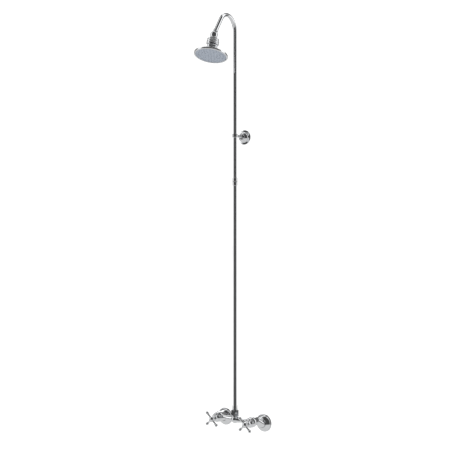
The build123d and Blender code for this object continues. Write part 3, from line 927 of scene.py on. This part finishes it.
class COLUMN_OT_head_collar(bpy.types.Operator):
    """Turn the ribbed drum above the bell"""

    bl_idname = "column.head_collar"
    bl_label = "Ribbed drum"

    def execute(self, context):
        ribs = []
        for height, reach in ((23.2, 17.8), (31.8, 19.3), (40.2, 19.1)):
            ribs += arc(
                (reach, height - 4.25), (reach + 4.5, height), (reach, height + 4.25), 14
            )
        outline = [
            (6.3, 8.2), (11, 8.2), (11, 13.2), (8.4, 13.2), (8.4, 17.4), (13.6, 18.6), *ribs,
            (18.2, 44.5), (12, 44.5), (12, 54.5), (9, 54.5), (9, 22), (5, 22), (5, 10.1),
        ]
        chrome("head_collar", turned(AT_HEAD, outline, 128, 0.25), "rain_head")
        return {"FINISHED"}


class COLUMN_OT_bell(bpy.types.Operator):
    """Turn the flared bell of the rain head"""

    bl_idname = "column.bell"
    bl_label = "Bell"

    def execute(self, context):
        rim = 63.5
        outline = [
            (12.1, 45.5), *arc((19, 45.5), (37.6, 64.1), (60.6, 80.7), 28),
            *arc((60.6, 80.7), (62.9, 82.1), (rim, 84.1), 6)[1:], (rim, 87.5),
            (rim - 0.6, 88.1), (62, 88.1), (62, 83.1), (56.5, 83.1),
            *arc((56.5, 79.9), (36.4, 65.3), (18, 47), 20), (12.1, 47),
        ]
        chrome("bell", turned(AT_HEAD, outline, 160, 0.2), "rain_head")
        return {"FINISHED"}


class COLUMN_OT_spray_face(bpy.types.Operator):
    """Make the rim ring, the spray plate and its silicone jets"""

    bl_idname = "column.spray_face"
    bl_label = "Spray face"

    def execute(self, context):
        ring = [
            (59.5, 83.3), (61.95, 83.3), (61.95, 88.5), (61.4, 89), (58.4, 89), (57.2, 87.8),
            (57.2, 86.4), (59.5, 86.4),
        ]
        chrome("face_ring", turned(AT_HEAD, ring, 160, 0.2), "rain_head")
        plate = turned(AT_HEAD, rod_outline(59.4, 84.1, 86.3), 160, 0.2)
        holes, nozzles = bmesh.new(), bmesh.new()
        for place in self.jet_places():
            self.gather(holes, turned(place, rod_outline(1.63, 83.5, 87.5), 20, 0))
            nozzle = [(0, 83.1), (1.6, 83.1), (1.6, 86.5), (1.25, 87.9), (0.9, 88.1), (0.5, 88.1),
                      (0.5, 84.5), (0, 84.5)]
            self.gather(nozzles, turned(place, nozzle, 16, 0.12))
        plate = combined(plate, [holes], "DIFFERENCE")
        piece("spray_plate_satin", plate, "rain_head", "face_plate", ["spray_plate"])
        mat = turned(AT_HEAD, rod_outline(55, 83.1, 84.05), 96, 0)
        self.gather(nozzles, mat)
        piece("jet_mat_soft", nozzles, "rain_head", "silicone", ["jet_mat"])
        return {"FINISHED"}

    def jet_places(self):
        """Rings of jets, six more in each ring than in the one inside it."""
        for row in range(5):
            count = max(1, 6 * row)
            for i in range(count):
                angle, radius = ROUND * i / count, row * sizes().jet_pitch / MM
                shift = (radius * math.cos(angle), radius * math.sin(angle), 0)
                yield AT_HEAD @ Matrix.Translation(shift)

    def gather(self, whole, part):
        """Moves part's faces into whole."""
        mesh = bpy.data.meshes.new("gathered")
        part.to_mesh(mesh)
        part.free()
        whole.from_mesh(mesh)
        bpy.data.meshes.remove(mesh)


class COLUMN_OT_inner_parts(bpy.types.Operator):
    """Give the washers, cartridges, screws and other inner parts their finishes"""

    bl_idname = "column.inner_parts"
    bl_label = "Inner parts"

    def execute(self, context):
        slots = {part["node"]: part["material_slot"] for part in frame["record"]["subparts"]}
        for name, node in frame["nodes"].items():
            node.data.materials.clear()
            node.data.materials.append(finish_of(slots[name]))
        return {"FINISHED"}


# ---- stage ----
# The set is white, with four broad dark areas that only polished metal sees, the same on both
# sides: how far round to the camera's right each starts and ends, how high it starts and ends,
# how soft its upper and lower edges are (all in degrees), and how dark it is.
CLOTHS = (
    (-75, 75, -15, 85, 10, 0.95),  # the unlit room behind the camera and over it
    (110, 162, -15, 85, 10, 0.9),  # a flag behind the column on the right
    (-162, -110, -15, 85, 10, 0.9),  # and one on the left
    (-190, 190, -95, -20, 10, 0.5),  # the floor below the set
)
CLOTH_SIDES = 14  # how soft a cloth's left and right edges are, in degrees
POLISHED_GAIN = 1.3  # how much brighter than daylight polished metal sees the white
PLAIN_GAIN = 1.2  # and everything else


class COLUMN_OT_stage(bpy.types.Operator):
    """Set the floor, the surround, the lights and the camera"""

    bl_idname = "column.stage"
    bl_label = "Stage"

    def execute(self, context):
        settings = context.scene.column_stage
        context.scene.view_settings.view_transform = "Standard"
        self.floor(settings)
        self.surround(context, settings)
        self.softbox(
            "key_light", settings, turn=-60, rise=35, distance=2.4, size=(1.0, 1.0), power=20
        )
        self.camera(context, settings)
        return {"FINISHED"}

    def floor(self, settings):
        bm = bmesh.new()
        bmesh.ops.create_circle(bm, cap_ends=True, radius=40, segments=96)
        level = CAD_BOX[0].z - settings.floor_drop
        bmesh.ops.translate(bm, vec=(0, 0, level), verts=bm.verts)
        mesh = bpy.data.meshes.new("floor")
        bm.to_mesh(mesh)
        bm.free()
        floor = bpy.data.objects.new("floor", mesh)
        bpy.context.scene.collection.objects.link(floor)
        paint = Paint("pale_floor")
        mesh.materials.append(paint.feed(base_color=(*settings.floor_tint, 1), roughness=0.9))
        floor.visible_glossy = False

    def around(self, settings, turn, distance, height):
        """A point round the riser, turned from the camera's direction by some degrees."""
        angle = settings.azimuth + math.radians(turn)
        return Vector((
            distance * math.sin(angle), RISER.y * MM - distance * math.cos(angle), height
        ))

    def surround(self, context, settings):
        """White all round, with the dark side of a studio where only polished metal sees it."""
        world = bpy.data.worlds.new("studio_surround")
        context.scene.world = world
        world.use_nodes = True
        web = Web(world.node_tree)
        toward = web.node("ShaderNodeTexCoord", output="Generated")
        ahead = toward.dot(self.facing(settings.azimuth))
        aside = toward.dot(self.facing(settings.azimuth + math.pi / 2))
        turn = aside.math("ARCTAN2", ahead) * math.degrees(1)
        rise = toward.dot((0, 0, 1)).math("ARCSINE") * math.degrees(1)
        dark = None
        for left, right, low, high, soft, depth in CLOTHS:
            fade = soft / 2
            across = turn.within(left, right, CLOTH_SIDES)
            cloth = across * rise.within(low - fade, high + fade, soft) * depth
            dark = cloth if dark is None else dark.most(cloth)
        bright = (1 - dark) * settings.daylight * POLISHED_GAIN
        polished = web.node("ShaderNodeLightPath", output="Is Glossy Ray")
        shade = bright * polished + (1 - polished) * settings.daylight * PLAIN_GAIN
        background = world.node_tree.nodes["Background"]
        world.node_tree.links.new(shade.socket, background.inputs["Strength"])
        background.inputs["Color"].default_value = (1, 1, 1, 1)

    def facing(self, azimuth):
        """The level direction at an angle round from the front."""
        return (math.sin(azimuth), -math.cos(azimuth), 0)

    def softbox(self, name, settings, turn, rise, distance, size, power):
        """A soft area light that faces the middle of the column."""
        aim = (CAD_BOX[0] + CAD_BOX[1]) / 2
        level = distance * math.cos(math.radians(rise))
        height = aim.z + distance * math.sin(math.radians(rise))
        light = bpy.data.lights.new(name, "AREA")
        light.shape, light.energy = "RECTANGLE", power
        light.size, light.size_y = size
        lamp = bpy.data.objects.new(name, light)
        lamp.location = self.around(settings, turn, level, height)
        lamp.rotation_euler = (aim - lamp.location).to_track_quat("-Z", "Y").to_euler()
        lamp.visible_camera = lamp.visible_glossy = False
        bpy.context.scene.collection.objects.link(lamp)

    def camera(self, context, settings):
        away = Vector(self.facing(settings.azimuth))
        aside = Vector(self.facing(settings.azimuth + math.pi / 2))
        lens = bpy.data.cameras.new("camera")
        lens.lens, lens.sensor_width = settings.lens, 36
        camera = bpy.data.objects.new("camera", lens)
        camera.location = (
            RISER * MM + away * settings.distance - aside * settings.aside
            + Vector((0, 0, settings.height))
        )
        camera.rotation_euler = (-away).to_track_quat("-Z", "Y").to_euler()
        context.scene.collection.objects.link(camera)
        context.scene.camera = camera


OPERATORS = (
    COLUMN_OT_inner_parts,
    COLUMN_OT_wall_flanges,
    COLUMN_OT_offset_unions,
    COLUMN_OT_union_nuts,
    COLUMN_OT_mixer_casting,
    COLUMN_OT_bonnets,
    COLUMN_OT_cross_handles,
    COLUMN_OT_index_buttons,
    COLUMN_OT_riser_foot,
    COLUMN_OT_lower_riser,
    COLUMN_OT_coupling,
    COLUMN_OT_gooseneck,
    COLUMN_OT_wall_bracket,
    COLUMN_OT_ball_joint,
    COLUMN_OT_head_collar,
    COLUMN_OT_bell,
    COLUMN_OT_spray_face,
    COLUMN_OT_stage,
)
SETTINGS = {
    "column_sizes": ColumnSizes,
    "column_colours": ColumnColours,
    "column_stage": StageSettings,
}


class COLUMN_PT_panel(bpy.types.Panel):
    """Lists the column's settings and pieces"""

    bl_idname = "COLUMN_PT_panel"
    bl_label = "Rain Shower Column"
    bl_space_type = "VIEW_3D"
    bl_region_type = "UI"
    bl_category = "Column"

    def draw(self, context):
        for group in SETTINGS:
            settings = getattr(context.scene, group)
            for name in settings.__annotations__:
                self.layout.prop(settings, name)
        for operator in OPERATORS:
            self.layout.operator(operator.bl_idname)


def register():
    for group in SETTINGS.values():
        bpy.utils.register_class(group)
    for operator in OPERATORS:
        bpy.utils.register_class(operator)
    bpy.utils.register_class(COLUMN_PT_panel)
    for name, group in SETTINGS.items():
        setattr(bpy.types.Scene, name, bpy.props.PointerProperty(type=group))


def unregister():
    for name in SETTINGS:
        delattr(bpy.types.Scene, name)
    bpy.utils.unregister_class(COLUMN_PT_panel)
    for operator in reversed(OPERATORS):
        bpy.utils.unregister_class(operator)
    for group in SETTINGS.values():
        bpy.utils.unregister_class(group)


def main():
    register()
    for operator in OPERATORS:
        category, name = operator.bl_idname.split(".")
        getattr(getattr(bpy.ops, category), name)()


if __name__ == "__main__":
    main()
